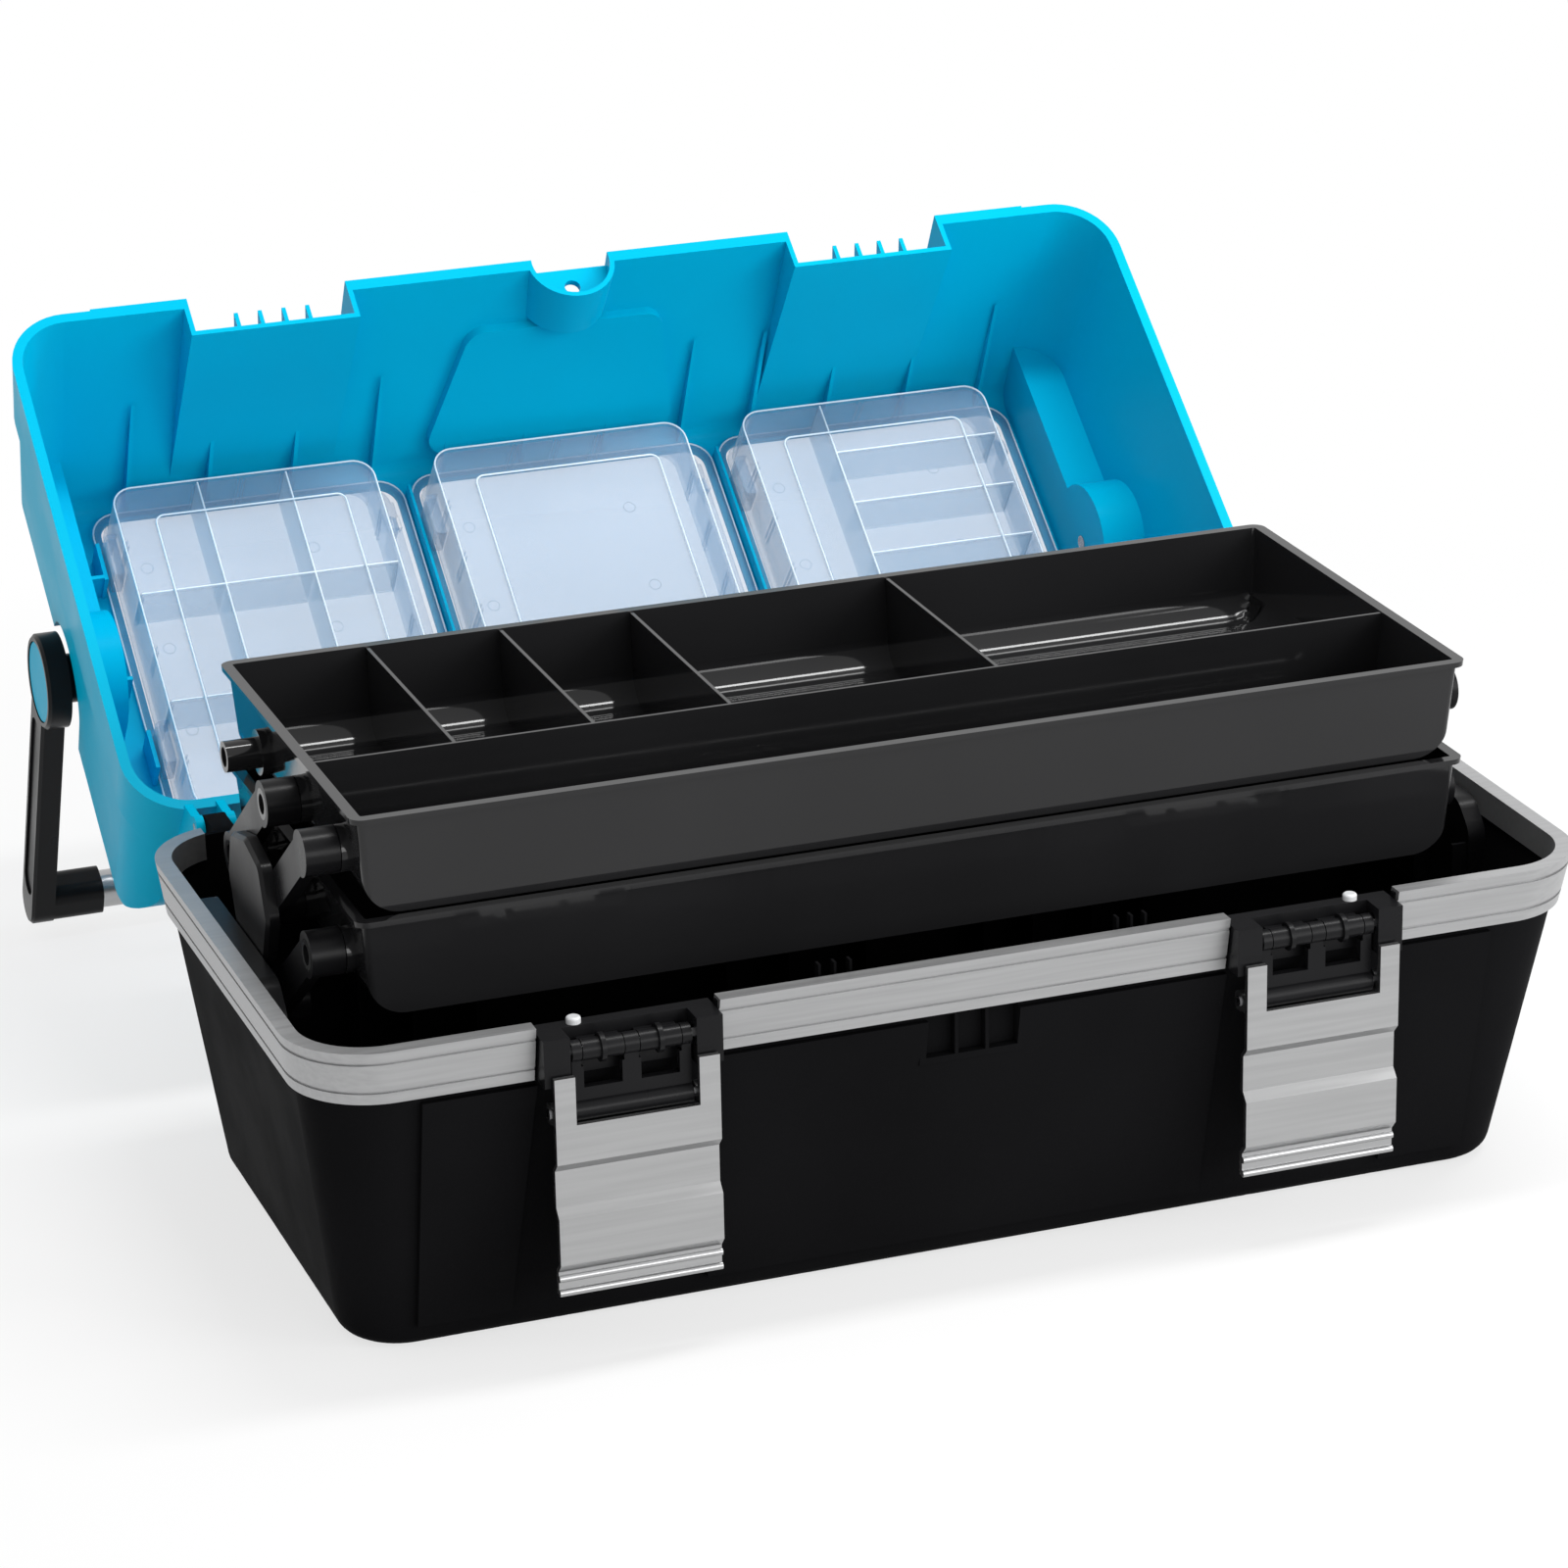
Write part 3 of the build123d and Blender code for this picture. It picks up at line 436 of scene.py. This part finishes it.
def made_by(tree, name, body, slot, at, **values):
    maker = bpy.data.objects.new(name + "_maker", bpy.data.meshes.new(name + "_maker"))
    bpy.context.scene.collection.objects.link(maker)
    modifier = maker.modifiers.new("maker", "NODES")
    modifier.node_group = tree
    for socket in tree.interface.items_tree:
        if socket.in_out == "INPUT":
            modifier[socket.identifier] = values[socket.name]
    bpy.context.view_layer.update()
    made = maker.evaluated_get(bpy.context.evaluated_depsgraph_get())
    mesh = bpy.data.meshes.new_from_object(made)
    maker.modifiers.clear()
    bpy.data.objects.remove(maker)
    mesh.transform(at)
    piece = bpy.data.objects.new(name, mesh)
    bpy.context.scene.collection.objects.link(piece)
    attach(piece, body)


# The lid leans back on its hinge: along s from its front edge, up h from its rim
LID_TURN = radians(-142.0)
HINGE = (0.158, 0.145)
HINGE_FROM_FRONT = 0.299
RIM_BELOW_HINGE = 0.0074


def lid_place(x, s, h):
    on_hinge = Matrix.Translation((0.0, *HINGE)) @ Matrix.Rotation(LID_TURN, 4, "X")
    return on_hinge @ Matrix.Translation((x, s - HINGE_FROM_FRONT, h + RIM_BELOW_HINGE))


ring_grid = ring_grid_tree()
marks = {"Radius": RING_RADIUS, "Bead": RING_BEAD}
for level in ("lower", "upper"):
    tray_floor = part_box(level + "_tray")[0][2] + TRAY_SKIN
    floor_at = Matrix.Translation((0.0, TRAY_RINGS_Y, tray_floor))
    made_by(ring_grid, level + "_tray_marks", level + "_tray", "glossy_black", floor_at,
            Finish=glossy_black, **TRAY_RINGS, **marks)
for row, middle in ORGANISER_X.items():
    made_by(ring_grid, "organiser_marks_" + row, "organiser_" + row, "clear",
            lid_place(middle + ORGANISER_RINGS_OFF, ORGANISER_RINGS_S, ORGANISER_FLOOR),
            Finish=clear_wall, **ORGANISER_RINGS, **marks)

# Organiser edges
# Clear plastic gathers light where it turns: round the face and its raised frame, round the
# flange, and along the feet of the loose dividers. These beads are that bright line.
EDGE_WHITE = (0.80, 0.88, 0.95, 1.0)
EDGE_PALE = (0.88, 0.93, 0.97, 1.0)
EDGE_BEAD = 0.0005
FACE_HEIGHT = 0.1003
FRAME_HEIGHT = 0.0992
FLANGE_HEIGHT = 0.1262
FLANGE_OFF = 0.006
ORGANISER_MIDDLE = 0.130
CORNER_STEPS = 8
OUTLINES = {
    "face": (0.0, FACE_HEIGHT, {"Width": 0.1342, "Length": 0.1912, "Corner": 0.0105}),
    "frame": (0.0, FRAME_HEIGHT, {"Width": 0.0976, "Length": 0.1526, "Corner": 0.0045}),
    "flange": (FLANGE_OFF, FLANGE_HEIGHT, {"Width": 0.1620, "Length": 0.1980, "Corner": 0.0135}),
}
CELL = 0.032
DIVIDER_AT = 0.0228
INSIDE_X = 0.0655
INSIDE_S = (0.036, 0.224)
FIRST_CROSS = {"left": 0.098, "right": 0.066}
bright_edge = moulded_plastic(
    "bright_edge", EDGE_WHITE, EDGE_PALE, grain=120.0, rough=(0.12, 0.18), bump=(0.01, 0.0002),
    gloss=0.4)


def rounded_outline_tree():
    tree, given = geometry_tree(
        "rounded_outline", ("Width", "Float"), ("Length", "Float"), ("Corner", "Float"))
    outline = tree.nodes.new("GeometryNodeCurvePrimitiveQuadrilateral")
    tree.links.new(given["Width"], outline.inputs["Width"])
    tree.links.new(given["Length"], outline.inputs["Height"])
    turn = tree.nodes.new("GeometryNodeFilletCurve")
    turn.mode = "POLY"
    turn.inputs["Count"].default_value = CORNER_STEPS
    tree.links.new(outline.outputs["Curve"], turn.inputs["Curve"])
    tree.links.new(given["Corner"], turn.inputs["Radius"])
    return finished(tree, given, beaded(tree, given, turn.outputs["Curve"]))


def bar_row_tree():
    tree, given = geometry_tree(
        "bar_row", ("Count", "Int"), ("Step", "Vector"), ("Start", "Vector"), ("End", "Vector"))
    bar = tree.nodes.new("GeometryNodeCurvePrimitiveLine")
    tree.links.new(given["Start"], bar.inputs["Start"])
    tree.links.new(given["End"], bar.inputs["End"])
    row = tree.nodes.new("GeometryNodeMeshLine")
    tree.links.new(given["Count"], row.inputs["Count"])
    tree.links.new(given["Step"], row.inputs["Offset"])
    bars = copied(tree, row.outputs["Mesh"], beaded(tree, given, bar.outputs["Curve"]))
    return finished(tree, given, bars)


rounded_outline = rounded_outline_tree()
bar_row = bar_row_tree()
bright = {"Bead": EDGE_BEAD, "Finish": bright_edge}
for row, middle in ORGANISER_X.items():
    for part, (off, height, outline) in OUTLINES.items():
        made_by(rounded_outline, "organiser_" + part + "_edge_" + row, "organiser_" + row, "clear",
                lid_place(middle + off, ORGANISER_MIDDLE, height), **outline, **bright)
long_foot = {"Start": (-DIVIDER_AT, INSIDE_S[0], 0), "End": (-DIVIDER_AT, INSIDE_S[1], 0)}
for row, kind, count, step, foot in (
        ("left", "long", 2, (2 * DIVIDER_AT, 0, 0), long_foot),
        ("left", "cross", 2, (0, 2 * CELL, 0), {"Start": (-INSIDE_X, FIRST_CROSS["left"], 0),
                                                "End": (INSIDE_X, FIRST_CROSS["left"], 0)}),
        ("right", "long", 1, (0, 0, 0), long_foot),
        ("right", "cross", 3, (0, CELL, 0), {"Start": (-DIVIDER_AT, FIRST_CROSS["right"], 0),
                                             "End": (INSIDE_X, FIRST_CROSS["right"], 0)})):
    made_by(bar_row, "divider_feet_" + kind + "_" + row, "organiser_" + row, "clear",
            lid_place(ORGANISER_X[row], 0.0, FACE_HEIGHT),
            Count=count, Step=step, **foot, **bright)

# Floor, light and camera
# A plain pale floor and soft lamps. The camera stands where the photograph was taken from.
FLOOR_HALF = 6.0
FLOOR_BELOW = 0.0004
FLOOR_GREY = (0.86, 0.86, 0.86, 1.0)
FLOOR_ROUGH = 0.9
FLOOR_NEAR = 0.30
FLOOR_FAR = 1.00
FLOOR_SHARE = 0.70
WHITE = (1.0, 1.0, 1.0, 1.0)
SKY_LEVEL = 0.52
CAMERA_AT = (-0.78439, -2.08394, 1.01451)
CAMERA_TURN = (69.516, 1.0617, -20.1599)
CAMERA_LENS = 123.35
SENSOR = 36.0
CAMERA_REACH = 50.0


def looked_at(tree):
    rays = tree.nodes.new("ShaderNodeLightPath")
    seen = rays.outputs["Is Camera Ray"]
    for kind in ("Is Glossy Ray", "Is Transmission Ray"):
        either = tree.nodes.new("ShaderNodeMath")
        either.operation = "MAXIMUM"
        tree.links.new(seen, either.inputs[0])
        tree.links.new(rays.outputs[kind], either.inputs[1])
        seen = either.outputs["Value"]
    return seen


floor_mesh = bpy.data.meshes.new("floor")
corners = [(x * FLOOR_HALF, y * FLOOR_HALF, -FLOOR_BELOW)
           for x, y in ((-1, -1), (1, -1), (1, 1), (-1, 1))]
floor_mesh.from_pydata(corners, [], [(0, 1, 2, 3)])
floor = bpy.data.objects.new("floor", floor_mesh)
bpy.context.scene.collection.objects.link(floor)
floor_finish, floor_tree, floor_shader = new_finish("pale_floor")
floor_shader.inputs["Base Color"].default_value = FLOOR_GREY
floor_shader.inputs["Roughness"].default_value = FLOOR_ROUGH
floor_shader.inputs["Specular IOR Level"].default_value = 0.0
floor_place = floor_tree.nodes.new("ShaderNodeTexCoord").outputs["Object"]
away = floor_tree.nodes.new("ShaderNodeVectorMath")
away.operation = "LENGTH"
floor_tree.links.new(floor_place, away.inputs[0])
fade = span(floor_tree, away.outputs["Value"], FLOOR_SHARE, 1.0, FLOOR_NEAR, FLOOR_FAR)
shown = floor_tree.nodes.new("ShaderNodeMath")
shown.operation = "MULTIPLY"
floor_tree.links.new(looked_at(floor_tree), shown.inputs[0])
floor_tree.links.new(fade, shown.inputs[1])
bare_white = floor_tree.nodes.new("ShaderNodeEmission")
bare_white.inputs["Color"].default_value = WHITE
bare_white.inputs["Strength"].default_value = 1.0
whole_floor = floor_tree.nodes.new("ShaderNodeMixShader")
floor_tree.links.new(shown.outputs["Value"], whole_floor.inputs["Fac"])
floor_tree.links.new(floor_shader.outputs["BSDF"], whole_floor.inputs[1])
floor_tree.links.new(bare_white.outputs["Emission"], whole_floor.inputs[2])
floor_out = floor_tree.nodes["Material Output"]
floor_tree.links.new(whole_floor.outputs["Shader"], floor_out.inputs["Surface"])
floor_mesh.materials.append(floor_finish)

sky = bpy.data.worlds.new("studio")
bpy.context.scene.world = sky
sky.use_nodes = True
sky_tree = sky.node_tree
soft_light = sky_tree.nodes["Background"]
soft_light.inputs["Color"].default_value = WHITE
soft_light.inputs["Strength"].default_value = SKY_LEVEL
seen_white = sky_tree.nodes.new("ShaderNodeBackground")
seen_white.inputs["Color"].default_value = WHITE
seen_white.inputs["Strength"].default_value = 1.0
choose = sky_tree.nodes.new("ShaderNodeMixShader")
sky_tree.links.new(looked_at(sky_tree), choose.inputs["Fac"])
sky_tree.links.new(soft_light.outputs["Background"], choose.inputs[1])
sky_tree.links.new(seen_white.outputs["Background"], choose.inputs[2])
sky_tree.links.new(choose.outputs["Shader"], sky_tree.nodes["World Output"].inputs["Surface"])


def lamp(name, at, turn, size, power):
    light = bpy.data.lights.new(name, "AREA")
    light.shape = "RECTANGLE"
    light.size, light.size_y = size
    light.energy = power
    holder = bpy.data.objects.new(name, light)
    holder.location = at
    holder.rotation_euler = [radians(angle) for angle in turn]
    bpy.context.scene.collection.objects.link(holder)


lamp("overhead", at=(0.45, -0.06, 1.7), turn=(0, 12, 0), size=(1.3, 0.20), power=20.0)
lamp("from_right", at=(1.8, -1.6, 1.1), turn=(62, 0, 48), size=(1.2, 1.2), power=28.0)
lamp("from_front", at=(0.7, -2.6, 0.7), turn=(80, 0, 15), size=(1.6, 1.0), power=22.0)

camera = bpy.data.objects.new("camera", bpy.data.cameras.new("camera"))
camera.location = CAMERA_AT
camera.rotation_euler = [radians(angle) for angle in CAMERA_TURN]
camera.data.lens = CAMERA_LENS
camera.data.sensor_width = SENSOR
camera.data.clip_end = CAMERA_REACH
bpy.context.scene.collection.objects.link(camera)
bpy.context.scene.camera = camera
bpy.context.scene.view_settings.view_transform = "Standard"
